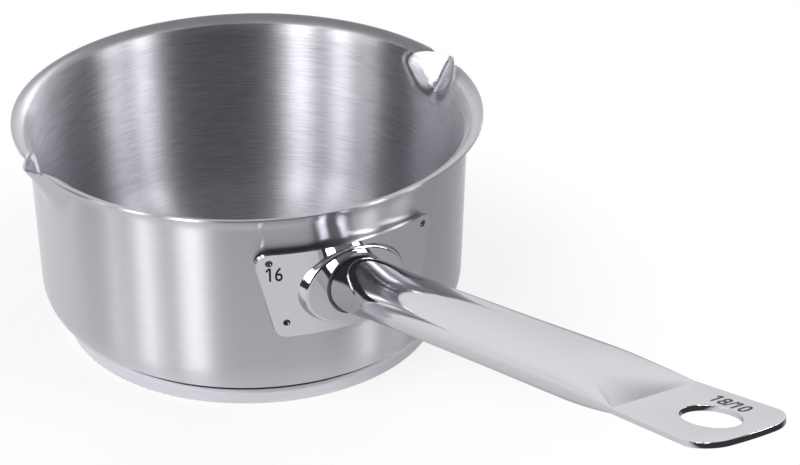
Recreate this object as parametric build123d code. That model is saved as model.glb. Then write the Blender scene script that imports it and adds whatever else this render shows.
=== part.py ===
from build123d import *
import os
from math import cos, radians, sin, sqrt, tan

# Milk pan in stainless steel, in millimetres. Z is the pan's axis, up from the
# table. The handle leaves along +X, and a pouring spout stands on each side.

# Pan body, drawn from one sheet
mouth_diameter = 160.0       # inside, where the rim starts to flare
rim_height = 82.0            # top of the rim above the table
wall = 1.0
wall_draft = 1.7             # degrees that the wall leans outward
corner_radius = 15.0         # inside, from the wall to the bottom
flare_radius = 6.5           # inside face of the flared rim
flare_turn = 84.0            # degrees from the vertical to the end of the rim
lip_round = 0.35

# Pouring spouts, pressed outward at both sides of the rim
spout_bearing = 92.7         # degrees from the handle to the first spout
spout_count = 2
spout_drop = 15.5            # rim down to the lower end of the channel
spout_reach = 8.1            # rim end of the channel, out from the mouth
spout_radius = 9.4           # channel at the level of the rim
spout_tip_radius = 1.4       # channel at its lower end

# Heat base under the body
base_height = 4.8            # body underside above the table
base_diameter = 139.0
cap_sheet = 0.7
cap_edge_round = 0.9
cap_bevel_height = 1.0       # bevel where the cap's wall closes on the body
braze = 0.2                  # brazing layers above and below the core
core_clearance = 0.3         # core edge to the cap's side wall

# Bracket plate that carries the handle
plate_sheet = 1.5
plate_gap = 0.3              # left by the spot welds
plate_top_width = 70.6
plate_foot_width = 55.0
plate_height = 33.2
plate_drop = 14.4            # rim down to the plate's top edge
plate_corner = 4.5
boss_width = 41.0
boss_height = 31.6
boss_drop = 16.3             # plate's top edge down to the middle of the boss
boss_face = 1.3              # flat of the boss, out from the plate at its middle
boss_side_angle = 20.0       # degrees that its side leans inward
boss_round = 1.1
dimple_radius = 1.2
dimple_depth = 0.8
dimple_margin = 4.5          # from the plate's slanted edge
dimple_top_margin = 3.3
dimple_foot_margin = 5.8
spot_weld_diameter = 3.6

# Hollow handle, one tube pressed oval, and pressed flat at its end
handle_rise = 16.5           # degrees above the level
handle_axis_lift = 0.3       # axis above the middle of the boss, at the plate
handle_length = 238.3        # from the plate to the end
tube_diameter = 21.0
tube_sheet = 0.9
tube_end_gap = 0.6           # open end to the pan wall
tube_hole_clearance = 0.8
round_length = 8.0           # still round, out from the plate
oval_start = 34.0            # where the oval shaft starts, out from the plate
oval_width = 25.0
oval_height = 15.6
shaft_end_width = 26.2       # the oval where the press begins
shaft_end_height = 15.2
flat_length = 48.5           # pressed end, beyond the crease
press_length = 33.8          # slope from the oval shaft down to the crease
flat_root_width = 29.2
flat_end_width = 32.0
flat_corner = 8.5
flat_end_bulge = 2.0
hang_hole_length = 24.2
hang_hole_width = 13.3
hang_hole_margin = 8.1       # from the hole to the end of the handle
weld_leg = 1.5               # ring of weld behind the boss, out from the tube
weld_depth = 0.6

# Corner radius of the tube's section as a share of half its height
round_corner_share = 0.99
oval_corner_share = 0.98
flat_corner_share = 0.90

# Part of the sloping press that the tube's bore still reaches
bore_press_share = 0.8

# Steepness of the press: above 1 it starts softly
press_power = 1.7
oval_section_count = 7
press_section_count = 6

overrun = 5.0                # how far cutting shapes run past what they cut

# Sizes that follow from those above
mouth_radius = mouth_diameter / 2
draft = radians(wall_draft)
flare_end = radians(flare_turn)
wall_normal = Vector(cos(draft), -sin(draft))
mouth_height = rim_height - flare_radius * (sin(flare_end) - sin(draft))
mouth_point = Vector(mouth_radius, mouth_height)
floor_height = base_height + wall
corner_height = floor_height + corner_radius
corner_reach = mouth_radius + (corner_height - mouth_height) * tan(draft) - corner_radius / cos(draft)
corner_centre = Vector(corner_reach, corner_height)
flare_centre = mouth_point + wall_normal * flare_radius
base_radius = base_diameter / 2
plate_top_height = rim_height - plate_drop
plate_foot_height = plate_top_height - plate_height
boss_centre_height = plate_top_height - boss_drop
handle_axis_height = boss_centre_height + handle_axis_lift
rise = radians(handle_rise)
handle_direction = Vector(cos(rise), 0, sin(rise))


def skin_radius(height, offset):
    # Radius of the straight wall at one height, offset outward from the inside face
    return mouth_radius + (height - mouth_height) * tan(draft) + offset / cos(draft)


def polar(centre, radius, angle):
    return centre + Vector(cos(angle), sin(angle)) * radius


def skin_edges(offset):
    # Inside face of the body as a line from the axis to the rim, offset outward
    corner = corner_radius + offset
    flare = flare_radius - offset
    foot = Vector(corner_reach, floor_height - offset)
    corner_mid = polar(corner_centre, corner, radians(-45.0) - draft / 2)
    corner_end = corner_centre + wall_normal * corner
    flare_start = mouth_point + wall_normal * offset
    flare_mid = flare_centre + Vector(-cos((draft + flare_end) / 2), sin((draft + flare_end) / 2)) * flare
    flare_tip = flare_centre + Vector(-cos(flare_end), sin(flare_end)) * flare
    return [
        Line((0, floor_height - offset), foot),
        ThreePointArc(foot, corner_mid, corner_end),
        Line(corner_end, flare_start),
        ThreePointArc(flare_start, flare_mid, flare_tip),
    ]


def turned(edges):
    # Solid of revolution about Z from a closed outline of radius and height
    return revolve(Plane.XZ * make_face(edges), Axis.Z)


def filled_skin(offset):
    # Everything inside the straight part of the body's skin, up to the mouth
    lower = skin_edges(offset)[:3]
    top = lower[2] @ 1
    bottom = lower[0] @ 0
    outline = lower + [Line(top, (0, top.Y)), Line((0, top.Y), bottom)]
    return turned(outline)


def spout_cone(extra):
    # Slanted cone that widens from the channel's lower end to above the rim
    low = rim_height - spout_drop
    climb = (rim_height + overrun - low) / spout_drop
    low_centre = skin_radius(low, 0) - spout_tip_radius
    rim_centre = mouth_radius + spout_reach - spout_radius
    top_centre = low_centre + (rim_centre - low_centre) * climb
    top_radius = spout_tip_radius + (spout_radius - spout_tip_radius) * climb
    foot = Plane.XY.offset(low) * Pos(low_centre, 0) * Circle(spout_tip_radius + extra)
    head = Plane.XY.offset(rim_height + overrun) * Pos(top_centre, 0) * Circle(top_radius + extra)
    return loft([foot, head], ruled=True)


def below_rim(shape):
    side = 2 * (mouth_diameter + overrun)
    block = Pos(0, 0, rim_height - side / 2) * Box(side, side, side)
    return shape & block


def pot_body():
    inner = skin_edges(0)
    outer = skin_edges(wall)
    lip = Line(inner[-1] @ 1, outer[-1] @ 1)
    hub = Line(inner[0] @ 0, outer[0] @ 0)
    body = turned(inner + outer + [lip, hub])
    lip_edges = body.edges().filter_by(GeomType.CIRCLE).sort_by(Axis.Z)[-2:]
    body = fillet(lip_edges, lip_round)
    flare_top = inner[-1] @ 1
    hollow = turned(inner + [Line(flare_top, (0, flare_top.Y)), Line((0, flare_top.Y), inner[0] @ 0)])
    for index in range(spout_count):
        turn = Rot(0, 0, spout_bearing + index * 360 / spout_count)
        shell = below_rim(turn * spout_cone(wall)) - hollow
        body = body + shell
    for index in range(spout_count):
        turn = Rot(0, 0, spout_bearing + index * 360 / spout_count)
        body = body - turn * spout_cone(0)
    return body


def base_cap():
    # Magnetic steel cap, closed on the body's corner by its bevelled side wall
    wall_top = base_height + cap_bevel_height
    profile = Polyline(
        (0, 0),
        (base_radius, 0),
        (base_radius, base_height),
        (base_radius - cap_sheet, wall_top),
        (0, wall_top),
        close=True,
    )
    face = make_face(profile)
    foot = face.vertices().filter_by(lambda v: v.X > 0 and v.Y < cap_sheet)
    cap = revolve(Plane.XZ * fillet(foot, cap_edge_round), Axis.Z)
    room = Pos(0, 0, cap_sheet + base_height) * Cylinder(base_radius - cap_sheet, 2 * base_height)
    return cap - filled_skin(wall) - room


def heat_core():
    radius = base_radius - cap_sheet - core_clearance
    low = cap_sheet + braze
    core = Pos(0, 0, low + base_height / 2) * Cylinder(radius, base_height)
    return core - filled_skin(wall + braze)


def lower_braze():
    radius = base_radius - cap_sheet - core_clearance
    return Pos(0, 0, cap_sheet + braze / 2) * Cylinder(radius, braze)


def upper_braze():
    radius = base_radius - cap_sheet - core_clearance
    reach = Pos(0, 0, base_height) * Cylinder(radius, base_height)
    return (filled_skin(wall + braze) & reach) - filled_skin(wall)


def plate_outline():
    points = [
        (-plate_foot_width / 2, plate_foot_height),
        (plate_foot_width / 2, plate_foot_height),
        (plate_top_width / 2, plate_top_height),
        (-plate_top_width / 2, plate_top_height),
    ]
    face = make_face(Polyline(points, close=True))
    return fillet(face.vertices(), plate_corner)


def plate_face_reach():
    # Outer face of the plate from the pan's axis, at the height of the boss
    return skin_radius(boss_centre_height, wall + plate_gap + plate_sheet)


def boss_block(inset, face_reach):
    # Oval block whose side leans inward, from inside the plate to its flat face
    depth = plate_sheet + boss_width / 4
    spread = depth * tan(radians(boss_side_angle))
    start = Plane.YZ.offset(face_reach - depth) * Pos(0, boss_centre_height)
    end = Plane.YZ.offset(face_reach) * Pos(0, boss_centre_height)
    half_width = boss_width / 2 - inset
    half_height = boss_height / 2 - inset
    side_drop = plate_face_reach() - sqrt(plate_face_reach() ** 2 - (boss_width / 2) ** 2)
    shrink = (side_drop + boss_face) * tan(radians(boss_side_angle))
    foot = start * Ellipse(half_width - shrink + spread, half_height - shrink + spread)
    face = end * Ellipse(half_width - shrink, half_height - shrink)
    return loft([foot, face], ruled=True)


def dimple_places():
    # Height and half width, across the pan, of the four spot welds
    widen = (plate_top_width - plate_foot_width) / 2
    places = []
    for level in (plate_foot_height + dimple_foot_margin, plate_top_height - dimple_top_margin):
        half = plate_foot_width / 2 + widen * (level - plate_foot_height) / plate_height - dimple_margin
        places.append((level, -half))
        places.append((level, half))
    return places


def handle_plate():
    reach = plate_face_reach() + overrun
    prism = extrude(Plane.YZ.offset(plate_face_reach() / 2) * plate_outline(), reach - plate_face_reach() / 2)
    sheet = (filled_skin(wall + plate_gap + plate_sheet) & prism) - filled_skin(wall + plate_gap)
    face_reach = plate_face_reach() + boss_face
    boss = boss_block(0, face_reach)
    rim = boss.edges().sort_by(Axis.X)[-1]
    boss = fillet(rim, boss_round)
    dish = boss_block(plate_sheet, face_reach - plate_sheet)
    plate = sheet + (boss - filled_skin(wall + plate_gap))
    plate = plate - dish - tube_bore(tube_diameter / 2 + tube_hole_clearance)
    for level, side in dimple_places():
        face = sqrt(skin_radius(level, wall + plate_gap + plate_sheet) ** 2 - side**2)
        centre = face + dimple_radius - dimple_depth
        plate = plate - Pos(centre, side, level) * Sphere(dimple_radius)
    return plate


def spot_welds():
    nuggets = []
    between = filled_skin(wall + plate_gap) - filled_skin(wall)
    for level, side in dimple_places():
        pin = Pos(mouth_radius, side, level) * Rot(0, 90, 0) * Cylinder(spot_weld_diameter / 2, mouth_radius / 2)
        nuggets.append(between & pin)
    return Compound(children=[nugget.solids()[0] for nugget in nuggets])


def handle_plane(distance):
    # Plane across the handle, its own X towards +Y and its own Y upward
    origin = Vector(plate_face_reach(), 0, handle_axis_height) + handle_direction * distance
    return Plane(origin=origin, x_dir=(0, 1, 0), z_dir=handle_direction)


def tube_bore(radius):
    # Round bar on the handle's axis through the boss
    start = handle_plane(-tube_diameter)
    return extrude(start * Circle(radius), 2 * tube_diameter)


def between(start, end, share):
    return start + (end - start) * share


def tube_section(place, width, height, corner_share, inset):
    # Rounded section at one place on the axis, inset for the inside of the tube
    radius = corner_share * height / 2 - inset
    return handle_plane(place) * RectangleRounded(width - 2 * inset, height - 2 * inset, radius)


def oval_sections(inset):
    # From the round root, softly, to the oval shaft
    sections = []
    for index in range(oval_section_count):
        share = index / (oval_section_count - 1)
        ease = share * share * (3 - 2 * share)
        width = between(tube_diameter, oval_width, ease)
        height = between(tube_diameter, oval_height, ease)
        corner = between(round_corner_share, oval_corner_share, ease)
        sections.append(tube_section(between(round_length, oval_start, share), width, height, corner, inset))
    return sections


def press_sections(inset, end_share):
    # From the oval shaft down to the crease, where both walls meet
    start = handle_length - flat_length - press_length
    sections = []
    for index in range(press_section_count):
        share = end_share * index / (press_section_count - 1)
        pressed = share**press_power
        width = between(shaft_end_width, flat_root_width, pressed)
        height = between(shaft_end_height, 2 * tube_sheet, pressed)
        corner = between(oval_corner_share, flat_corner_share, pressed)
        sections.append(tube_section(start + press_length * share, width, height, corner, inset))
    return sections


def flat_end():
    # Both walls of the tube pressed together, with the hanging hole
    start = handle_length - flat_length
    side = handle_plane(0)
    sketch_plane = Plane(origin=side.origin, x_dir=handle_direction, z_dir=side.y_dir)
    root = flat_root_width / 2
    end = flat_end_width / 2
    tip = handle_length - flat_end_bulge
    outline = [
        TangentArc((start, -root), (tip, -end), tangent=(1, 0)),
        ThreePointArc((tip, -end), (handle_length, 0), (tip, end)),
        TangentArc((start, root), (tip, end), tangent=(1, 0)),
        Line((start, root), (start, -root)),
    ]
    face = make_face(outline)
    corners = face.vertices().sort_by(Axis.X)[-2:]
    plate = extrude(sketch_plane * fillet(corners, flat_corner), tube_sheet, both=True)
    folded = plate.edges().filter_by(Axis(side.origin, side.y_dir), reverse=True)
    folded = folded.filter_by(Axis(side.origin, side.x_dir), reverse=True)
    plate = fillet(folded, flat_corner_share * tube_sheet)
    hole_place = handle_length - hang_hole_margin - hang_hole_length / 2
    hole = Pos(hole_place, 0) * Ellipse(hang_hole_length / 2, hang_hole_width / 2)
    return plate - extrude(sketch_plane * hole, 2 * tube_sheet, both=True)


def tube_shape(inset, press_end_share):
    # The tube's skin, or its bore, from inside the pan wall to the press
    start = tube_section(-tube_diameter, tube_diameter, tube_diameter, round_corner_share, inset)
    root = extrude(start, tube_diameter + round_length)
    oval = oval_sections(inset)
    press = press_sections(inset, press_end_share)
    shaft = loft([oval[-1], press[0]], ruled=True)
    return root + loft(oval) + shaft + loft(press)


def handle():
    tube = tube_shape(0, 1) - tube_shape(tube_sheet, bore_press_share)
    return (tube - filled_skin(wall + tube_end_gap)) + flat_end()


def handle_weld(tube):
    # Ring of weld in the dish of the boss, round the tube's open end
    face = plate_face_reach() + boss_face - plate_sheet
    ring = tube_bore(tube_diameter / 2 + weld_leg) - tube_bore(tube_diameter / 2 - tube_sheet / 2) - tube
    slab = Pos(face - weld_depth / 2, 0, handle_axis_height) * Box(weld_depth, boss_width, boss_width)
    return ring & slab


def write_parts():
    tube = handle()
    parts = {
        "pot_body": pot_body(),
        "base_cap": base_cap(),
        "heat_core": heat_core(),
        "upper_braze": upper_braze(),
        "lower_braze": lower_braze(),
        "handle_plate": handle_plate(),
        "spot_welds": spot_welds(),
        "handle": tube,
        "handle_weld": handle_weld(tube),
    }
    os.makedirs("parts", exist_ok=True)
    for name, shape in parts.items():
        export_step(shape, f"parts/{name}.step")
        print(name, len(shape.solids()), round(shape.volume, 1), shape.bounding_box())


write_parts()
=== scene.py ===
from math import atan2, cos, degrees, pi, radians, sin, sqrt, tan

import bmesh
import bpy
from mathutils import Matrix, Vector


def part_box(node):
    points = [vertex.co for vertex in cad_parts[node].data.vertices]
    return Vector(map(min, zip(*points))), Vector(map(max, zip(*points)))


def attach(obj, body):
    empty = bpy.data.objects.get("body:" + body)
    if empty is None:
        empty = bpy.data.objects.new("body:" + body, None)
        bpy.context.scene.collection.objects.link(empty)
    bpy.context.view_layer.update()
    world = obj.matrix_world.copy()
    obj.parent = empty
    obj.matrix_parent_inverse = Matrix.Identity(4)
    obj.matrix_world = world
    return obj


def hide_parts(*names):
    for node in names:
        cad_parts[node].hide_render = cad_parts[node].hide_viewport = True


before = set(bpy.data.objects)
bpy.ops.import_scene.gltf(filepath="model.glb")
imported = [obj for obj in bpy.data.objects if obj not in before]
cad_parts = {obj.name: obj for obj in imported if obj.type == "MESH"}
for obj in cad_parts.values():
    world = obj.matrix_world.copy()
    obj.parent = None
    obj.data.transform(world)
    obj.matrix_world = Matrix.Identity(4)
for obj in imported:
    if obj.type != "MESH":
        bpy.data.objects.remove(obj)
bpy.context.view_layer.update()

# Milk pan, in metres: +Z is up, the handle leaves along +X.
# The camera comes first, then the pieces, the studio and the finishes.

cameraView = {
    "target": (0.0267, 0.0485, 0.0317),
    "azimuth": 61.18,       # degrees, 0 looks along +Y
    "elevation": 28.77,
    "distance": 0.98,
    "lens": 118.11,
    "reach": 20,            # how far it sees
}

bodyLow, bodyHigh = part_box("pot_body")
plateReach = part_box("handle_plate")[1].x


def deselectAll():
    if bpy.context.object and bpy.context.object.mode != "OBJECT":
        bpy.ops.object.mode_set(mode="OBJECT")
    bpy.ops.object.select_all(action="DESELECT")


def pickPiece(piece):
    deselectAll()
    piece.select_set(True)
    bpy.context.view_layer.objects.active = piece


def editPiece(piece):
    # open one piece in edit mode with nothing selected
    pickPiece(piece)
    bpy.ops.object.mode_set(mode="EDIT")
    bpy.ops.mesh.select_all(action="DESELECT")


def objectMode():
    bpy.ops.object.mode_set(mode="OBJECT")


def pickVerts(piece, test):
    # select vertices by their place
    mesh = bmesh.from_edit_mesh(piece.data)
    for vertex in mesh.verts:
        vertex.select_set(bool(test(vertex.co)))
    mesh.select_flush_mode()
    bmesh.update_edit_mesh(piece.data)


def pickEdges(piece, test):
    # select edges whose two ends both pass
    bpy.ops.mesh.select_mode(type="EDGE")
    mesh = bmesh.from_edit_mesh(piece.data)
    for edge in mesh.edges:
        edge.select_set(all(test(vertex.co) for vertex in edge.verts))
    mesh.select_flush_mode()
    bmesh.update_edit_mesh(piece.data)
    bpy.ops.mesh.select_mode(type="VERT")


def setNormals(inside):
    bpy.ops.mesh.select_all(action="SELECT")
    bpy.ops.mesh.normals_make_consistent(inside=inside)


def raiseFace(rise):
    # give a flat face, open in edit mode, its thickness
    bpy.ops.mesh.select_all(action="SELECT")
    bpy.ops.mesh.extrude_region_move(TRANSFORM_OT_translate={"value": (0, 0, rise)})
    setNormals(inside=False)


def applyModifier(piece, kind, name, **values):
    pickPiece(piece)
    modifier = piece.modifiers.new(name, kind)
    for key, value in values.items():
        setattr(modifier, key, value)
    bpy.ops.object.modifier_apply(modifier=name)


def roundEdges(piece, name, width, segments, sharpAngle):
    applyModifier(
        piece, "BEVEL", name, width=width, segments=segments,
        limit_method="ANGLE", angle_limit=radians(sharpAngle),
    )


def combine(piece, other, name, operation):
    # cut a piece with another, or join them, and the other is used up
    applyModifier(piece, "BOOLEAN", name, object=other, operation=operation, solver="EXACT")
    bpy.data.objects.remove(other)


def settleInPlace(piece):
    pickPiece(piece)
    bpy.ops.object.transform_apply(location=True, rotation=True, scale=True)


def smoothByAngle(piece, angle):
    pickPiece(piece)
    bpy.ops.object.shade_smooth_by_angle(angle=radians(angle))


def evenSteps(start, end, count):
    # from the first step past the start to the end itself
    return [start + (end - start) * (step + 1) / count for step in range(count)]


def directionOf(azimuth, elevation):
    # unit vector towards a place that stands at these angles, in degrees
    turn, lift = radians(azimuth), radians(elevation)
    return Vector((sin(turn) * cos(lift), -cos(turn) * cos(lift), sin(lift)))


def makeCamera(view):
    outward = directionOf(view["azimuth"], view["elevation"])
    place = Vector(view["target"]) + outward * view["distance"]
    bpy.ops.object.camera_add(location=place)
    camera = bpy.context.object
    camera.name = "photoCamera"
    camera.rotation_euler = outward.to_track_quat("Z", "Y").to_euler()
    camera.data.lens = view["lens"]
    camera.data.clip_end = view["reach"]
    bpy.context.scene.camera = camera


makeCamera(cameraView)
print("camera placed")


# Pan body: one turned sheet, drawn out at the spouts, then given its wall

panBody = {
    "mouthRadius": 0.080,     # inside, at the foot of the flare
    "wall": 0.001,
    "draft": 1.7,             # degrees outward
    "cornerRadius": 0.015,
    "flareRadius": 0.0065,
    "flareTurn": 84.0,        # degrees from the vertical at the lip
    "lipRound": 0.00035,
    "lipSegments": 3,
    "sharpAngle": 50,         # edges sharper than this are rounded
    "smoothAngle": 40,
    "ringVerts": 720,
    "keepEvery": 4,           # away from the spouts
    "floorRings": 8,
    "cornerRows": 14,
    "wallRows": 8,
    "flareRows": 14,
    "nearby": 0.000035,       # as good as the same height
}

spout = {
    "bearings": (92.7, 272.7),  # degrees from the handle
    "denseHalfAngle": 14.0,
    "closeRowsFrom": 0.0634,    # height from which the rows stand close
    "rowGap": 0.0008,
    "reachAcross": 0.020,
    "apexHeight": 0.0664,
    "rimReach": 0.0889,         # bottom of the channel at the rim
    "flankSlope": 0.68,         # how fast the flanks close in, at the rim
    "flankPower": 0.33,         # and how this grows from the apex
    "leastClimb": 0.01,
    "bottomRound": 0.0025,
    "blend": 0.0005,
    "ridge": 0.00035,
    "ridgeWidth": 0.0007,
    "ridgeBelow": 0.0028,       # under the apex, where it starts
    "ridgeGrowth": 4,           # how soon it has its full height
    "pressedFrom": 0.0014,      # push from which the tool has polished the channel
    "unpressed": 0.0010,        # below the rim, where the tool didn't reach
    "softBelow": 0.005,         # the outside is softened from here, under the apex
    "softToRim": 0.002,         # to here, under the rim
    "softFactor": 0.5,
    "softPasses": 30,
}


def panProfile(pan):
    # inside face as (radius, height) from the floor's edge to the lip
    draft = radians(pan["draft"])
    flareEnd = radians(pan["flareTurn"])
    mouthHeight = bodyHigh.z - pan["flareRadius"] * (sin(flareEnd) - sin(draft))
    cornerHeight = bodyLow.z + pan["wall"] + pan["cornerRadius"]
    wallRadius = pan["mouthRadius"] + (cornerHeight - mouthHeight) * tan(draft)
    cornerReach = wallRadius - pan["cornerRadius"] / cos(draft)
    rows = []
    for step in range(pan["cornerRows"] + 1):
        turn = -pi / 2 + (pi / 2 - draft) * step / pan["cornerRows"]
        radius = cornerReach + pan["cornerRadius"] * cos(turn)
        rows.append((radius, cornerHeight + pan["cornerRadius"] * sin(turn)))
    heights = evenSteps(rows[-1][1], spout["closeRowsFrom"], pan["wallRows"])
    closeRows = int((mouthHeight - spout["closeRowsFrom"]) / spout["rowGap"])
    heights += evenSteps(spout["closeRowsFrom"], mouthHeight, closeRows)
    for height in heights:
        rows.append((pan["mouthRadius"] + (height - mouthHeight) * tan(draft), height))
    flareReach = pan["mouthRadius"] + pan["flareRadius"] * cos(draft)
    flareHeight = mouthHeight - pan["flareRadius"] * sin(draft)
    for turn in evenSteps(draft, flareEnd, pan["flareRows"]):
        radius = flareReach - pan["flareRadius"] * cos(turn)
        rows.append((radius, flareHeight + pan["flareRadius"] * sin(turn)))
    return rows


profile = panProfile(panBody)
apexRadius = next(radius for radius, height in profile if height >= spout["apexHeight"])


def levelDirection(bearing):
    return Vector((cos(radians(bearing)), sin(radians(bearing)), 0))


def seenAlong(place, outward):
    # how far out and how far aside a place lies, seen along a level direction
    return place.dot(outward), place.x * outward.y - place.y * outward.x


def onOutside(place, normal):
    # whether a face of the pan's sheet belongs to its outside
    level = Vector((place.x, place.y, 0)).normalized()
    return normal.dot(level) - normal.z > 0


def bell(value):
    return 1 / (1 + value**4)


def drawSpouts(piece, channel):
    # press a rounded V outward at each bearing, with a low ridge along its edges
    pressed = piece.vertex_groups.new(name="pressed")
    rounding, ridgeWidth = channel["bottomRound"], channel["ridgeWidth"]
    for vertex in piece.data.vertices:
        if vertex.co.z < channel["apexHeight"] - channel["ridgeBelow"]:
            continue
        for outward in map(levelDirection, channel["bearings"]):
            place = vertex.co
            along, across = seenAlong(place, outward)
            if along < 0 or abs(across) > channel["reachAcross"]:
                continue
            climb = (place.z - channel["apexHeight"]) / (bodyHigh.z - channel["apexHeight"])
            bottom = apexRadius + (channel["rimReach"] - apexRadius) * climb
            slope = channel["flankSlope"]
            slope *= max(channel["leastClimb"], climb) ** channel["flankPower"]
            excess = bottom - slope * (sqrt(across**2 + rounding**2) - rounding) - along
            push = (excess + sqrt(excess**2 + channel["blend"] ** 2)) / 2
            ridge = channel["ridge"] * bell((excess + ridgeWidth) / ridgeWidth)
            growth = min(1, max(0, climb * channel["ridgeGrowth"]))
            vertex.co = place + outward * (push - ridge * growth)
            if push > channel["pressedFrom"]:
                pressed.add([vertex.index], 1, "REPLACE")


def rowAndTurn(face):
    # faces come in no fixed order, and the last at a vertex decides whether it is picked
    place = face.calc_center_median()
    return round(place.z, 5), -atan2(place.y, place.x)


def softenOutside(piece, channel):
    # the sheet's outside follows the pressed channel more gently than its inside
    lowest = channel["apexHeight"] - channel["softBelow"]
    highest = bodyHigh.z - channel["softToRim"]
    directions = [levelDirection(bearing) for bearing in channel["bearings"]]
    editPiece(piece)
    mesh = bmesh.from_edit_mesh(piece.data)
    for face in sorted(mesh.faces, key=rowAndTurn):
        place = face.calc_center_median()
        beside = False
        for outward in directions:
            along, across = seenAlong(place, outward)
            beside = beside or (along > 0 and abs(across) < channel["reachAcross"])
        face.select_set(beside and lowest < place.z < highest and onOutside(place, face.normal))
    bmesh.update_edit_mesh(piece.data)
    bpy.ops.mesh.vertices_smooth(factor=channel["softFactor"], repeat=channel["softPasses"])
    objectMode()


def thinRing(piece, pan):
    # away from the spouts, the first ring keeps only some of its vertices
    step = 2 * pi / pan["ringVerts"]

    def spare(place):
        turn = atan2(place.y, place.x)
        nearSpout = any(
            abs((degrees(turn) - bearing + 180) % 360 - 180) < spout["denseHalfAngle"]
            for bearing in spout["bearings"]
        )
        return not nearSpout and round(turn / step) % pan["keepEvery"] != 0

    pickVerts(piece, spare)
    bpy.ops.mesh.dissolve_verts()


def makePanBody(pan):
    radius, height = profile[0]
    deselectAll()
    bpy.ops.mesh.primitive_circle_add(
        vertices=pan["ringVerts"], radius=radius, location=(0, 0, height)
    )
    piece = bpy.context.object
    piece.name = "panBody"
    settleInPlace(piece)
    editPiece(piece)
    thinRing(piece, pan)
    # corner, wall and flare
    bpy.ops.mesh.select_all(action="SELECT")
    for nextRadius, nextHeight in profile[1:]:
        bpy.ops.mesh.extrude_edges_move(
            TRANSFORM_OT_translate={"value": (0, 0, nextHeight - height)}
        )
        share = nextRadius / radius
        bpy.ops.transform.resize(value=(share, share, 1), center_override=(0, 0, nextHeight))
        radius, height = nextRadius, nextHeight
    # floor: rings inward from the first loop, closed at the middle
    height = profile[0][1]
    pickVerts(piece, lambda place: place.z < height + pan["nearby"])
    for ring in range(pan["floorRings"], 0, -1):
        bpy.ops.mesh.extrude_edges_move(TRANSFORM_OT_translate={"value": (0, 0, 0)})
        share = ring / (ring + 1)
        bpy.ops.transform.resize(value=(share, share, 1), center_override=(0, 0, height))
    bpy.ops.mesh.merge(type="CENTER")
    setNormals(inside=True)
    objectMode()
    drawSpouts(piece, spout)
    applyModifier(
        piece, "SOLIDIFY", "wall", thickness=pan["wall"], offset=-1, use_even_offset=True
    )
    softenOutside(piece, spout)
    roundEdges(piece, "lip", pan["lipRound"], pan["lipSegments"], pan["sharpAngle"])
    smoothByAngle(piece, pan["smoothAngle"])
    return piece


body = makePanBody(panBody)
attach(body, "root")
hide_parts("pot_body")
print("pan body", len(body.data.polygons), "faces")


# Handle: a round tube drawn oval, pressed shut into a flat end with its hanging hole

handleTube = {
    "rise": 16.5,             # degrees above level
    "rootReach": 0.082076,    # where the axis leaves the plate's face
    "rootHeight": 0.0516,
    "around": 96,
    "stations": (             # along the axis, half width, half height
        (0.000, 0.01050, 0.01050),
        (0.008, 0.01050, 0.01050),
        (0.034, 0.01270, 0.00835),
        (0.060, 0.01265, 0.00800),
        (0.100, 0.01285, 0.00785),
        (0.156, 0.01330, 0.00785),
    ),
    "fullness": 2.15,         # 2 is an ellipse
    "fullFrom": 0.060,
    "pressStart": 0.156,
    "crease": 0.1898,
    "pressPower": 1.5,
    "stepLength": 0.004,
    "pressSteps": 16,
    "rootRadius": 0.0105,
    "boreWall": 0.0009,
    "boreDepth": 0.015,
    "wallReach": 0.0803,      # the pan's wall, from its axis
    "wallGap": 0.0006,
    "fitReach": 0.016,        # how far up the tube its end is fitted to the wall
    "smoothAngle": 20,
    "nearby": 0.0004,         # as good as at the open end
}

flatEnd = {
    "rootHalfWidth": 0.0146,
    "tipHalfWidth": 0.0160,
    "length": 0.0485,
    "sheet": 0.0018,
    "corner": 0.0085,
    "cornerSegments": 14,
    "bulge": 0.0020,          # the tip bows out by this between its corners
    "bulgeCuts": 15,
    "edgeRound": 0.00035,
    "edgeSegments": 5,
    "sharpAngle": 50,
    "sideShare": 0.10,        # of a quarter turn, spent on the side
    "cornerShare": 0.66,      # and up to the end of the rounded edge
    "holeCentre": 0.2181,     # along the axis
    "holeLength": 0.0242,
    "holeWidth": 0.0133,
    "holeVerts": 96,
    "tuck": 0.0015,           # how far it starts inside the tube
    "nearby": 0.0000035,      # as good as on the tip's edge
}


def easeBetween(place, stations):
    # smooth steps between the listed half widths and half heights
    for (start, *low), (end, *high) in zip(stations, stations[1:]):
        if place <= end:
            share = min(1, max(0, (place - start) / (end - start)))
            share = share * share * (3 - 2 * share)
            return [a + (b - a) * share for a, b in zip(low, high)]
    return stations[-1][1:]


def inQuadrant(turn, across, upward):
    return (across if cos(turn) > 0 else -across, upward if sin(turn) > 0 else -upward)


def ovalPoint(turn, halfWidth, halfHeight, fullness):
    across = abs(cos(turn)) ** (2 / fullness) * halfWidth
    upward = abs(sin(turn)) ** (2 / fullness) * halfHeight
    return inQuadrant(turn, across, upward)


def flatPoint(turn, flat):
    # the pressed section: most of the turn is gathered in its rounded edges
    halfWidth, halfHeight, corner = flat["rootHalfWidth"], flat["sheet"] / 2, flat["edgeRound"]
    side, top = flat["sideShare"], flat["cornerShare"]
    share = abs((degrees(turn) + 90) % 180 - 90) / 90
    if share < side:
        across, upward = halfWidth, (halfHeight - corner) * share / side
    elif share < top:
        bend = pi / 2 * (share - side) / (top - side)
        across = halfWidth - corner + corner * cos(bend)
        upward = halfHeight - corner + corner * sin(bend)
    else:
        across, upward = (halfWidth - corner) * (1 - share) / (1 - top), halfHeight
    return inQuadrant(turn, across, upward)


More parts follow.
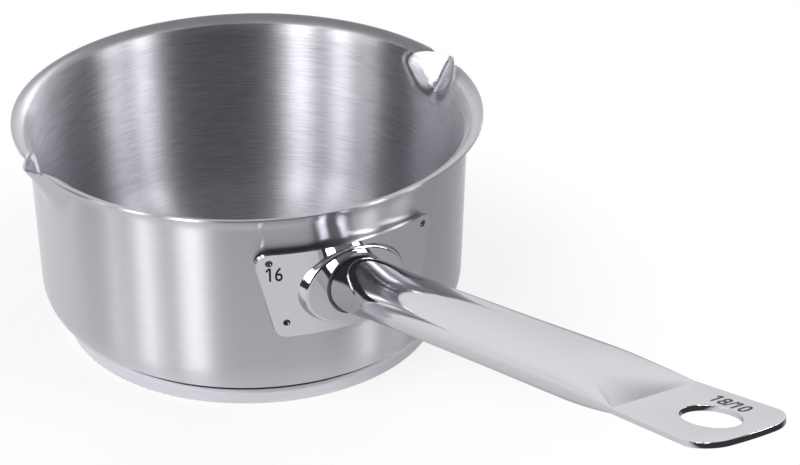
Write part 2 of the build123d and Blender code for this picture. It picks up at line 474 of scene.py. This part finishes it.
def tubeSection(tube, place, turn):
    halfWidth, halfHeight = easeBetween(place, tube["stations"])
    fullness = 2 + (tube["fullness"] - 2) * min(1, place / tube["fullFrom"])
    across, upward = ovalPoint(turn, halfWidth, halfHeight, fullness)
    if place > tube["pressStart"]:
        share = (place - tube["pressStart"]) / (tube["crease"] - tube["pressStart"])
        share = share ** tube["pressPower"]
        flatAcross, flatUpward = flatPoint(turn, flatEnd)
        across += (flatAcross - across) * share
        upward += (flatUpward - upward) * share
    return across, upward


def shapeTube(piece, tube):
    # bring the round tube to its sections, and its open end to the pan's wall
    rise = radians(tube["rise"])
    for vertex in piece.data.vertices:
        place = vertex.co.x
        if sqrt(vertex.co.y**2 + vertex.co.z**2) >= tube["rootRadius"] - tube["boreWall"] / 2:
            turn = atan2(vertex.co.z, vertex.co.y)
            vertex.co.y, vertex.co.z = tubeSection(tube, place, turn)
        wall = sqrt((tube["wallReach"] + tube["wallGap"]) ** 2 - vertex.co.y**2)
        nearest = (wall - tube["rootReach"] + vertex.co.z * sin(rise)) / cos(rise)
        if place < tube["fitReach"]:
            vertex.co.x = nearest + (tube["fitReach"] - nearest) * place / tube["fitReach"]


def makeTube(tube):
    steps = int(tube["pressStart"] / tube["stepLength"])
    places = [0] + evenSteps(0, tube["pressStart"], steps)
    places += evenSteps(tube["pressStart"], tube["crease"], tube["pressSteps"])
    deselectAll()
    bpy.ops.mesh.primitive_circle_add(
        vertices=tube["around"], radius=tube["rootRadius"], rotation=(0, pi / 2, 0)
    )
    piece = bpy.context.object
    piece.name = "handle.tube"
    settleInPlace(piece)
    editPiece(piece)
    bpy.ops.mesh.select_all(action="SELECT")
    for start, end in zip(places, places[1:]):
        bpy.ops.mesh.extrude_edges_move(TRANSFORM_OT_translate={"value": (end - start, 0, 0)})
    bpy.ops.mesh.edge_face_add()
    # the open end: its wall turned inward and a short bore
    pickVerts(piece, lambda place: place.x < tube["nearby"])
    inner = (tube["rootRadius"] - tube["boreWall"]) / tube["rootRadius"]
    bpy.ops.mesh.extrude_edges_move(TRANSFORM_OT_translate={"value": (0, 0, 0)})
    bpy.ops.transform.resize(value=(1, inner, inner), center_override=(0, 0, 0))
    bpy.ops.mesh.extrude_edges_move(TRANSFORM_OT_translate={"value": (tube["boreDepth"], 0, 0)})
    bpy.ops.mesh.edge_face_add()
    setNormals(inside=False)
    objectMode()
    shapeTube(piece, tube)
    return piece


def bowTip(piece, flat, edge):
    # the tip bows out a little between its corners
    editPiece(piece)
    pickEdges(piece, lambda place: place.x > edge - flat["nearby"])
    bpy.ops.mesh.subdivide(number_cuts=flat["bulgeCuts"])
    objectMode()
    for vertex in piece.data.vertices:
        inward = (edge - vertex.co.x) / flat["corner"]
        if inward < 1:
            bow = 1 - (vertex.co.y / flat["tipHalfWidth"]) ** 2
            vertex.co.x += flat["bulge"] * max(0, bow) * (1 - max(0, inward))


def makeHolePunch(flat):
    deselectAll()
    bpy.ops.mesh.primitive_cylinder_add(
        vertices=flat["holeVerts"], radius=0.5, depth=flat["sheet"] * 4,
        location=(flat["holeCentre"], 0, 0),
    )
    punch = bpy.context.object
    punch.scale = (flat["holeLength"], flat["holeWidth"], 1)
    settleInPlace(punch)
    return punch


def makeFlatEnd(flat):
    start = handleTube["crease"] - flat["tuck"]
    tip = handleTube["crease"] + flat["length"]
    deselectAll()
    bpy.ops.mesh.primitive_plane_add(
        size=1, location=((start + tip) / 2, 0, -flat["sheet"] / 2)
    )
    piece = bpy.context.object
    piece.name = "handle.flatEnd"
    piece.scale = (tip - start - flat["bulge"], 2 * flat["tipHalfWidth"], 1)
    piece.location.x -= flat["bulge"] / 2
    settleInPlace(piece)
    editPiece(piece)
    pickVerts(piece, lambda place: place.x < start + flat["tuck"])
    narrow = flat["rootHalfWidth"] / flat["tipHalfWidth"]
    bpy.ops.transform.resize(value=(1, narrow, 1), center_override=(0, 0, 0))
    pickVerts(piece, lambda place: place.x > start + flat["tuck"])
    bpy.ops.mesh.bevel(
        offset=flat["corner"], offset_type="OFFSET", segments=flat["cornerSegments"],
        affect="VERTICES", clamp_overlap=False,
    )
    bowTip(piece, flat, tip - flat["bulge"])
    editPiece(piece)
    raiseFace(flat["sheet"])
    objectMode()
    combine(piece, makeHolePunch(flat), "hole", "DIFFERENCE")
    roundEdges(piece, "edges", flat["edgeRound"], flat["edgeSegments"], flat["sharpAngle"])
    return piece


def placeOnHandle(piece):
    # from an axis along X to the handle's own
    piece.rotation_euler = (0, -radians(handleTube["rise"]), 0)
    piece.location = (handleTube["rootReach"], 0, handleTube["rootHeight"])
    settleInPlace(piece)


def makeHandle():
    piece = makeTube(handleTube)
    combine(piece, makeFlatEnd(flatEnd), "flatEnd", "UNION")
    placeOnHandle(piece)
    smoothByAngle(piece, handleTube["smoothAngle"])
    piece.name = "handlePiece"
    return piece


handlePiece = makeHandle()
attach(handlePiece, "root")
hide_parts("handle")
print("handle", len(handlePiece.data.polygons), "faces")


# Plain numbers, as thin dark inlays: the pan's size on the plate, the steel's grade
# on the handle

numberStyle = {
    "depth": 0.001,       # before they are brought to size
    "proud": 0.00003,
    "flag": 0.34,         # the slanting flag of a 1: its length, as a share of the height
    "flagTurn": 40,       # degrees
    "flagWidth": 0.9,     # as a share of the stroke's
    "flagAside": 0.28,    # its middle, as shares of its length
    "flagBelow": 0.42,
}

plateMark = {
    **numberStyle,
    "text": "16",
    "bold": 0.012,
    "arc": -0.0293,       # middle, round the pan from the handle
    "height": 0.0599,
    "wide": 0.0060,
    "tall": 0.0055,
    "castFrom": 0.2,      # outside the plate, from where its face is found
}

handleMark = {
    **numberStyle,
    "text": "18/10",
    "bold": 0.020,
    "start": 0.2051,      # along the handle's axis
    "end": 0.2224,
    "low": 0.0074,        # across it
    "high": 0.0120,
}


def islandsOf(piece):
    # loose pieces of a mesh from left to right, as lists of places
    mesh = bmesh.new()
    mesh.from_mesh(piece.data)
    left, islands = set(mesh.verts), []
    while left:
        group, ends = set(), [left.pop()]
        while ends:
            vertex = ends.pop()
            group.add(vertex)
            others = [edge.other_vert(vertex) for edge in vertex.link_edges]
            near = [other for other in others if other in left]
            left.difference_update(near)
            ends.extend(near)
        islands.append([vertex.co.copy() for vertex in group])
    mesh.free()
    return sorted(islands, key=lambda places: min(place.x for place in places))


def makeFlag(mark, places):
    # the short slanting flag of the 1 that stands at these places
    top = max(place.y for place in places)
    tall = top - min(place.y for place in places)
    side = min(place.x for place in places)
    stroke = max(place.x for place in places) - side
    length = tall * mark["flag"]
    deselectAll()
    bpy.ops.mesh.primitive_plane_add(size=1, location=(0, 0, 0))
    flag = bpy.context.object
    flag.scale = (length, stroke * mark["flagWidth"], 1)
    flag.rotation_euler.z = radians(mark["flagTurn"])
    flag.location.x = side - length * mark["flagAside"]
    flag.location.y = top - length * mark["flagBelow"]
    flag.location.z = -mark["depth"]
    settleInPlace(flag)
    editPiece(flag)
    raiseFace(2 * mark["depth"])
    objectMode()
    return flag


def flagOnes(piece, mark):
    flags = [
        makeFlag(mark, places)
        for letter, places in zip(mark["text"], islandsOf(piece)) if letter == "1"
    ]
    pickPiece(piece)
    for flag in flags:
        flag.select_set(True)
    bpy.ops.object.join()


def makeNumbers(name, mark, wide, tall):
    # letters round the origin, made a mesh and brought to size
    deselectAll()
    bpy.ops.object.text_add(location=(0, 0, 0))
    piece = bpy.context.object
    piece.name = name
    piece.data.body = mark["text"]
    piece.data.extrude = mark["depth"]
    piece.data.offset = mark["bold"]
    bpy.ops.object.convert(target="MESH")
    piece = bpy.context.object
    editPiece(piece)
    bpy.ops.mesh.select_all(action="SELECT")
    bpy.ops.mesh.remove_doubles(threshold=mark["depth"] / 10)
    objectMode()
    flagOnes(piece, mark)
    corners = [[v.co[axis] for v in piece.data.vertices] for axis in range(3)]
    low = Vector([min(values) for values in corners])
    high = Vector([max(values) for values in corners])
    middle, size = (low + high) / 2, high - low
    for vertex in piece.data.vertices:
        place = vertex.co - middle
        place.x *= wide / size.x
        place.y *= tall / size.y
        place.z *= 2 * mark["proud"] / size.z
        vertex.co = place
    return piece


def makePlateMark(mark):
    piece = makeNumbers("plateMark", mark, mark["wide"], mark["tall"])
    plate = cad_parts["handle_plate"]
    for vertex in piece.data.vertices:
        turn = (mark["arc"] + vertex.co.x) / plateReach
        outward = Vector((cos(turn), sin(turn), 0))
        eye = outward * mark["castFrom"] + Vector((0, 0, mark["height"] + vertex.co.y))
        place = plate.ray_cast(eye, -outward)[1]
        vertex.co = place + outward * vertex.co.z
    return piece


def makeHandleMark(mark):
    piece = makeNumbers(
        "handleMark", mark, mark["end"] - mark["start"], mark["high"] - mark["low"]
    )
    along, across = (mark["start"] + mark["end"]) / 2, (mark["low"] + mark["high"]) / 2
    middle = Vector((along, across, flatEnd["sheet"] / 2))
    for vertex in piece.data.vertices:
        vertex.co += middle
    placeOnHandle(piece)
    return piece


sizeNumbers = makePlateMark(plateMark)
gradeNumbers = makeHandleMark(handleMark)
for numbers in (sizeNumbers, gradeNumbers):
    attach(numbers, "root")
print("numbers set")


# Nodes that the floor, the world and the finishes share

noiseSpan = (0.25, 0.75)      # where nearly all of a noise lies


def addNode(tree, kind, **settings):
    node = tree.nodes.new("ShaderNode" + kind)
    for key, value in settings.items():
        setattr(node, key, value)
    return node


def feed(tree, socket, value):
    # a socket takes another node's output, or a plain value
    if hasattr(value, "node"):
        tree.links.new(value, socket)
    else:
        socket.default_value = value


def feedAll(tree, node, **values):
    # sockets by their names, with each space left out
    for socket in node.inputs:
        name = socket.name.replace(" ", "")
        if name in values and socket.enabled:
            feed(tree, socket, values[name])
    return node


def mathOf(tree, operation, first, second, **settings):
    node = addNode(tree, "Math", operation=operation, **settings)
    feed(tree, node.inputs[0], first)
    feed(tree, node.inputs[1], second)
    return node.outputs[0]


def vectorOf(tree, operation, *values, result="Vector"):
    node = addNode(tree, "VectorMath", operation=operation)
    for socket, value in zip(node.inputs, values):
        feed(tree, socket, value)
    return node.outputs[result]


def mapRange(tree, source, fromSpan, toSpan, interpolation="SMOOTHSTEP"):
    node = addNode(tree, "MapRange", interpolation_type=interpolation)
    names = ("Value", "From Min", "From Max", "To Min", "To Max")
    for name, value in zip(names, (source, *fromSpan, *toSpan)):
        feed(tree, node.inputs[name], value)
    return node.outputs["Result"]


def noiseRange(tree, noise, low, high):
    return mapRange(tree, noise, noiseSpan, (low, high), "LINEAR")


def blendOf(tree, share, first, second, kind="FLOAT"):
    node = addNode(tree, "Mix", data_type=kind)
    for name, value in zip(("Factor", "A", "B"), (share, first, second)):
        feed(tree, node.inputs[name], value)
    return node.outputs["Result"]


def noiseOf(tree, place, scale, detail):
    node = addNode(tree, "TexNoise")
    feedAll(tree, node, Vector=place, Scale=scale, Detail=detail)
    return node.outputs["Fac"]


def bumpOf(tree, height, depth, strength=1, under=None):
    # a bump, on top of another where one is given
    node = addNode(tree, "Bump")
    feedAll(tree, node, Height=height, Distance=depth, Strength=strength)
    if under is not None:
        feed(tree, node.inputs["Normal"], under)
    return node.outputs["Normal"]


def mixShaders(tree, share, first, second):
    node = addNode(tree, "MixShader")
    for socket, value in zip(node.inputs, (share, first.outputs[0], second.outputs[0])):
        feed(tree, socket, value)
    return node.outputs[0]


def levelParts(tree, place):
    # the level part of a vector, and its direction alone
    level = vectorOf(tree, "MULTIPLY", place, (1, 1, 0))
    return level, vectorOf(tree, "NORMALIZE", level)


def heightOf(tree, place):
    node = addNode(tree, "SeparateXYZ")
    feed(tree, node.inputs[0], place)
    return node.outputs["Z"]


def objectPlace(tree):
    return addNode(tree, "TexCoord").outputs["Object"]


# Floor and light

studio = {
    "floorSize": 6.0,
    "floorWhite": 0.9,
    "shadowShare": 0.25,
    "shadowFade": (0.09, 0.17),   # metres from the middle of the pan
    "frontFade": (0.30, 0.52),    # where the floor ends for the steel, on the camera's side
    "frontSide": (-0.3, 0.3),     # how far round from the back that side begins
}

# what the steel mirrors below the lamps: pale all round, palest behind and at the left
surround = {
    "towardsBack": (-0.876, 0.482, 0),
    "towardsLeft": (-0.482, -0.876, 0),
    "front": 0.86,
    "back": (0.1, 0.7, 1.05),      # from, to, strength
    "left": (0.1, 0.9, 0.98),
    "right": (-0.85, -0.35, 0.55),   # the right side is dimmer
    "dark": 0.05,
}


def surroundStrength(tree, direction):
    level, unit = levelParts(tree, direction)
    backness = vectorOf(tree, "DOT_PRODUCT", unit, surround["towardsBack"], result="Value")
    leftness = vectorOf(tree, "DOT_PRODUCT", unit, surround["towardsLeft"], result="Value")
    start, end, strength = surround["back"]
    back = mapRange(tree, backness, (start, end), (surround["front"], strength))
    start, end, strength = surround["left"]
    left = mapRange(tree, leftness, (start, end), (surround["front"], strength))
    start, end, dimmer = surround["right"]
    right = mapRange(tree, leftness, (start, end), (dimmer, 1))
    most = mathOf(tree, "MAXIMUM", back, left)
    return mathOf(tree, "MULTIPLY", most, right), backness


def makeFloorFinish(room):
    material = bpy.data.materials.new("paleFloor")
    material.use_nodes = True
    tree = material.node_tree
    tree.nodes.clear()
    place = objectPlace(tree)
    radius = vectorOf(tree, "LENGTH", place, result="Value")
    strength, backness = surroundStrength(tree, place)
    # on the camera's side the steel sees the floor end in the dark
    frontSide = mapRange(tree, backness, room["frontSide"], (1, 0))
    away = mapRange(tree, radius, room["frontFade"], (0, 1))
    dim = mathOf(tree, "MULTIPLY", frontSide, away)
    mirrored = blendOf(tree, dim, strength, surround["dark"])
    lightPath = addNode(tree, "LightPath")
    byCamera, byGloss = lightPath.outputs["Is Camera Ray"], lightPath.outputs["Is Glossy Ray"]
    glow = addNode(tree, "Emission")
    feedAll(tree, glow, Strength=blendOf(tree, byCamera, mirrored, 1))
    plain = addNode(tree, "BsdfDiffuse")
    feedAll(tree, plain, Color=(*[room["floorWhite"]] * 3, 1))
    # the shadow stays near the pan, and further out the floor is the plain backdrop
    lit = mapRange(tree, radius, room["shadowFade"], (room["shadowShare"], 0))
    glowing = mathOf(tree, "SUBTRACT", 1, lit)
    seen = mathOf(tree, "MAXIMUM", byCamera, byGloss, use_clamp=True)
    share = mathOf(tree, "MULTIPLY", glowing, seen)
    output = addNode(tree, "OutputMaterial")
    feedAll(tree, output, Surface=mixShaders(tree, share, plain, glow))
    return material


def makeFloor(room):
    deselectAll()
    bpy.ops.mesh.primitive_plane_add(size=room["floorSize"], location=(0, 0, 0))
    floor = bpy.context.object
    floor.name = "studioFloor"
    floor.data.materials.append(makeFloorFinish(room))


makeFloor(studio)


softboxes = {
    # name: azimuth from the camera in degrees, elevation, distance, width, height, watts
    "farLeft": (-69, 29, 1.6, 0.12, 0.95, 3.2),
    "keyLeft": (-51, 29, 1.6, 0.20, 0.95, 8.4),
    "front": (-26.5, 29, 1.6, 0.31, 0.95, 11.5),
    "keyRight": (63.5, 29, 1.6, 0.15, 0.95, 7.2),
    "farRight": (83, 29, 1.6, 0.22, 0.95, 5.2),
    "backRight": (152, 29, 1.6, 0.10, 0.95, 2.4),
}


def makeSoftbox(name, azimuth, elevation, distance, width, height, watts):
    outward = directionOf(cameraView["azimuth"] + azimuth, elevation)
    deselectAll()
    bpy.ops.object.light_add(type="AREA", location=outward * distance)
    lamp = bpy.context.object
    lamp.name = name
    lamp.rotation_euler = outward.to_track_quat("Z", "Y").to_euler()
    lamp.data.shape = "RECTANGLE"
    lamp.data.size = width
    lamp.data.size_y = height
    lamp.data.energy = watts


for name, values in softboxes.items():
    makeSoftbox(name, *values)


# heights here are sines of the elevation
world = {
    "top": (0.50, 0.82, 0.30),   # pale ceiling: from, to, strength
    "behindEdge": 0.45,          # where the backdrop ends behind the pan
    "frontEdge": -0.30,          # and where the floor ends on the camera's side
    "edgeTurn": (-0.25, 0.35),   # how far round from the back one becomes the other
    "softness": 0.20,
    "backdrop": (1, 1, 1, 1),
}


def makeWorld(sky):
    room = bpy.data.worlds.new("studioRoom")
    bpy.context.scene.world = room
    room.use_nodes = True
    tree = room.node_tree
    tree.nodes.clear()
    direction = addNode(tree, "TexCoord").outputs["Generated"]
    height = heightOf(tree, direction)
    strength, backness = surroundStrength(tree, direction)
    edge = mapRange(tree, backness, sky["edgeTurn"], (sky["frontEdge"], sky["behindEdge"]))
    above = mathOf(tree, "SUBTRACT", height, edge)
    fade = mapRange(tree, above, (0, sky["softness"]), (strength, surround["dark"]))
    start, end, pale = sky["top"]
    overhead = mapRange(tree, height, (start, end), (0, pale))
    roomLight = addNode(tree, "Background")
    feedAll(tree, roomLight, Color=mathOf(tree, "MAXIMUM", fade, overhead))
    backdrop = addNode(tree, "Background")
    feedAll(tree, backdrop, Color=sky["backdrop"])
    byCamera = addNode(tree, "LightPath").outputs["Is Camera Ray"]
    output = addNode(tree, "OutputWorld")
    feedAll(tree, output, Surface=mixShaders(tree, byCamera, roomLight, backdrop))


makeWorld(world)
bpy.context.scene.view_settings.view_transform = "Standard"
print("studio lit")


# Finishes

def newSteel(name):
    material = bpy.data.materials.new(name)
    material.use_nodes = True
    tree = material.node_tree
    shader = tree.nodes["Principled BSDF"]
    shader.inputs["Metallic"].default_value = 1
    return material, tree, shader


def turnedGrain(tree, finish):
    # noise drawn out round the pan's axis: fine across the grain, long along it
    place = objectPlace(tree)
    level, unit = levelParts(tree, place)
    wide = addNode(tree, "VectorMath", operation="SCALE")
    feedAll(tree, wide, Vector=unit, Scale=finish["around"])
    radius = vectorOf(tree, "LENGTH", level, result="Value")
    along = mathOf(tree, "ADD", radius, heightOf(tree, place))
    lift = addNode(tree, "CombineXYZ")
    feedAll(tree, lift, Z=mathOf(tree, "MULTIPLY", along, finish["fine"]))
    drawn = vectorOf(tree, "ADD", wide.outputs[0], lift.outputs[0])
    noise = noiseOf(tree, drawn, 1, finish["detail"])
    return noise, vectorOf(tree, "CROSS_PRODUCT", (0, 0, 1), unit)


def turnedSteel(name, finish):
    material, tree, shader = newSteel(name)
    noise, tangent = turnedGrain(tree, finish)
    shade = noiseRange(tree, noise, finish["dark"], finish["light"])
    tint = addNode(tree, "CombineColor")
    blue = mathOf(tree, "MULTIPLY", shade, finish["blue"])
    for socket, value in zip(tint.inputs, (shade, shade, blue)):
        feed(tree, socket, value)
    rough = noiseRange(tree, noise, finish["roughLow"], finish["roughHigh"])
    if "matteEdge" in finish:
        # a raw, unpolished upper edge
        height = heightOf(tree, objectPlace(tree))
        rough = mapRange(tree, height, finish["matteEdge"], (rough, finish["matte"]))
    under = None
    if "waves" in finish:
        # hollows left by the pressing tool
        waves = noiseOf(tree, objectPlace(tree), finish["waves"], 0)
        under = bumpOf(tree, waves, finish["waveDepth"])
    normal = bumpOf(tree, noise, finish["bumpDepth"], finish["bump"], under)
    feedAll(
        tree, shader, BaseColor=tint.outputs[0], Roughness=rough, Normal=normal,
        Anisotropic=finish["anisotropic"], AnisotropicRotation=finish["grainTurn"],
        Tangent=tangent,
    )
    return material


panSteel = {
    "anisotropic": 1.0,
    "grainTurn": 0.25,    # of a whole turn, so that highlights spread across the grain
    "around": 8,          # scale of the grain along its length, and across it
    "fine": 2600,
    "detail": 3,
    "dark": 0.47,
    "light": 0.75,
    "blue": 1.07,
    "roughLow": 0.42,
    "roughHigh": 0.50,
    "bump": 1.0,
    "bumpDepth": 0.00003,
}

pressedSteel = {
    **panSteel,
    "anisotropic": 0.0,
    "roughLow": 0.22,
    "roughHigh": 0.28,
    "bump": 0.02,
    "waves": 130,
    "waveDepth": 0.0005,
}

outerSteel = {
    **panSteel,
    "dark": 0.56,
    "light": 0.61,
    "roughLow": 0.30,
    "roughHigh": 0.34,
    "bump": 0.1,
}

rimSteel = {
    **panSteel,
    "anisotropic": 0.3,
    "dark": 0.52,
    "light": 0.58,
    "roughLow": 0.34,
    "roughHigh": 0.40,
    "bump": 0.1,
    "reach": 0.0014,      # down from the top of the rim
}

baseSteel = {
    **panSteel,
    "anisotropic": 0.3,
    "dark": 0.66,
    "light": 0.74,
    "roughLow": 0.36,
    "roughHigh": 0.42,
    "bump": 0.15,
    "matteEdge": (0.0045, 0.0049),    # heights between which its finish turns matte
    "matte": 0.85,
}

bodyFinishes = {
    "turnedPanSteel": panSteel,
    "pressedSpoutSteel": pressedSteel,
    "outerPanSteel": outerSteel,
    "rimSteel": rimSteel,
}


def finishBody(piece):
    piece.data.materials.clear()
    for name, finish in bodyFinishes.items():
        piece.data.materials.append(turnedSteel(name, finish))
    pressedSlot, outerSlot, rimSlot = 1, 2, 3
    groupIndex = piece.vertex_groups["pressed"].index
    pressedVerts = {
        vertex.index for vertex in piece.data.vertices
        if any(link.group == groupIndex and link.weight > 0.5 for link in vertex.groups)
    }
    pressedTop = bodyHigh.z - spout["unpressed"]
    for face in piece.data.polygons:
        height = face.center.z
        if onOutside(face.center, face.normal):
            face.material_index = outerSlot
        elif height < pressedTop and all(index in pressedVerts for index in face.vertices):
            face.material_index = pressedSlot
        elif height > bodyHigh.z - rimSteel["reach"]:
            face.material_index = rimSlot


mirrorSteel = {
    "colour": (0.66, 0.66, 0.69, 1),
    "edgeTint": (0.72, 0.72, 0.74, 1),
    "roughness": (0.05, 0.10),
    "scratches": 900,
    "scratchStretch": (0.06, 1, 1),
    "scratchDepth": 0.000004,
    "scratchDetail": 4,
    "waves": 45,
    "waveDepth": 0.00003,
    "waveDetail": 1,
}

plateSteel = {**mirrorSteel, "colour": (0.60, 0.60, 0.63, 1)}

# dimples of the spot welds, as seen along the handle, and the shade painted into them
plateDimples = {
    "places": ((0.02436, 0.0402), (0.03002, 0.0643)),    # aside and up, of each pair
    "edge": (0.00095, 0.00150),    # from a dimple's middle, where the painted shade ends
    # painted shade: the share of the steel's colour left at a dimple's middle
    "dirt": 0.16,
}


def polishedSteel(name, finish):
    material, tree, shader = newSteel(name)
    place = objectPlace(tree)
    stretch = addNode(tree, "Mapping")
    feedAll(tree, stretch, Vector=place, Scale=finish["scratchStretch"])
    stretched = stretch.outputs[0]
    scratches = noiseOf(tree, stretched, finish["scratches"], finish["scratchDetail"])
    waves = noiseOf(tree, place, finish["waves"], finish["waveDetail"])
    wavy = bumpOf(tree, waves, finish["waveDepth"])
    feedAll(
        tree, shader, BaseColor=finish["colour"], SpecularTint=finish["edgeTint"],
        Roughness=noiseRange(tree, scratches, *finish["roughness"]),
        Normal=bumpOf(tree, scratches, finish["scratchDepth"], under=wavy),
    )
    return material


def paintedDimpleShade(material, finish, dimples):
    # painted shade: the steel's colour darkens towards the middle of the nearest dimple, where
    # the recess is shaded
    tree = material.node_tree
    mirrored = vectorOf(tree, "ABSOLUTE", objectPlace(tree))
    flat = vectorOf(tree, "MULTIPLY", mirrored, (0, 1, 1))
    reaches = [
        vectorOf(tree, "DISTANCE", flat, (0, side, height), result="Value")
        for side, height in dimples["places"]
    ]
    nearest = mathOf(tree, "MINIMUM", *reaches)
    shade = mapRange(tree, nearest, dimples["edge"], (dimples["dirt"], 1))
    colour = blendOf(tree, shade, (0, 0, 0, 1), finish["colour"], "RGBA")
    feedAll(tree, tree.nodes["Principled BSDF"], BaseColor=colour)
    return material


# for the numbers, and for what the dressed pan hides: core, brazing and welds
plainMetals = {
    # name: colour, roughness, scale of the grain
    "darkNumbers": ((0.035, 0.035, 0.04), 0.45, 4000),
    "coreAluminium": ((0.78, 0.79, 0.80), 0.35, 300),
    "brazeFiller": ((0.72, 0.70, 0.64), 0.45, 600),
    "weldSteel": ((0.52, 0.50, 0.48), 0.4, 1500),
}

plainVariation = {"darkest": 0.85, "roughness": 0.05, "detail": 2}


def plainMetal(name):
    colour, roughness, grain = plainMetals[name]
    material, tree, shader = newSteel(name)
    mottle = noiseOf(tree, objectPlace(tree), grain, plainVariation["detail"])
    darker = (*[value * plainVariation["darkest"] for value in colour], 1)
    spread = plainVariation["roughness"]
    feedAll(
        tree, shader, BaseColor=blendOf(tree, mottle, darker, (*colour, 1), "RGBA"),
        Roughness=noiseRange(tree, mottle, roughness - spread, roughness + spread),
    )
    return material


def giveFinish(material, *pieces):
    for piece in pieces:
        piece.data.materials.clear()
        piece.data.materials.append(material)


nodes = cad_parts
finishBody(body)
giveFinish(polishedSteel("polishedSteel", mirrorSteel), handlePiece)
polishedPlate = polishedSteel("polishedPlateSteel", plateSteel)
# the plate's colour carries painted shade in its dimples
giveFinish(paintedDimpleShade(polishedPlate, plateSteel, plateDimples), nodes["handle_plate"])
giveFinish(plainMetal("darkNumbers"), sizeNumbers, gradeNumbers)
giveFinish(turnedSteel("turnedBaseSteel", baseSteel), nodes["base_cap"])
giveFinish(plainMetal("coreAluminium"), nodes["heat_core"])
giveFinish(plainMetal("brazeFiller"), nodes["upper_braze"], nodes["lower_braze"])
giveFinish(plainMetal("weldSteel"), nodes["spot_welds"], nodes["handle_weld"])
print("finishes set")
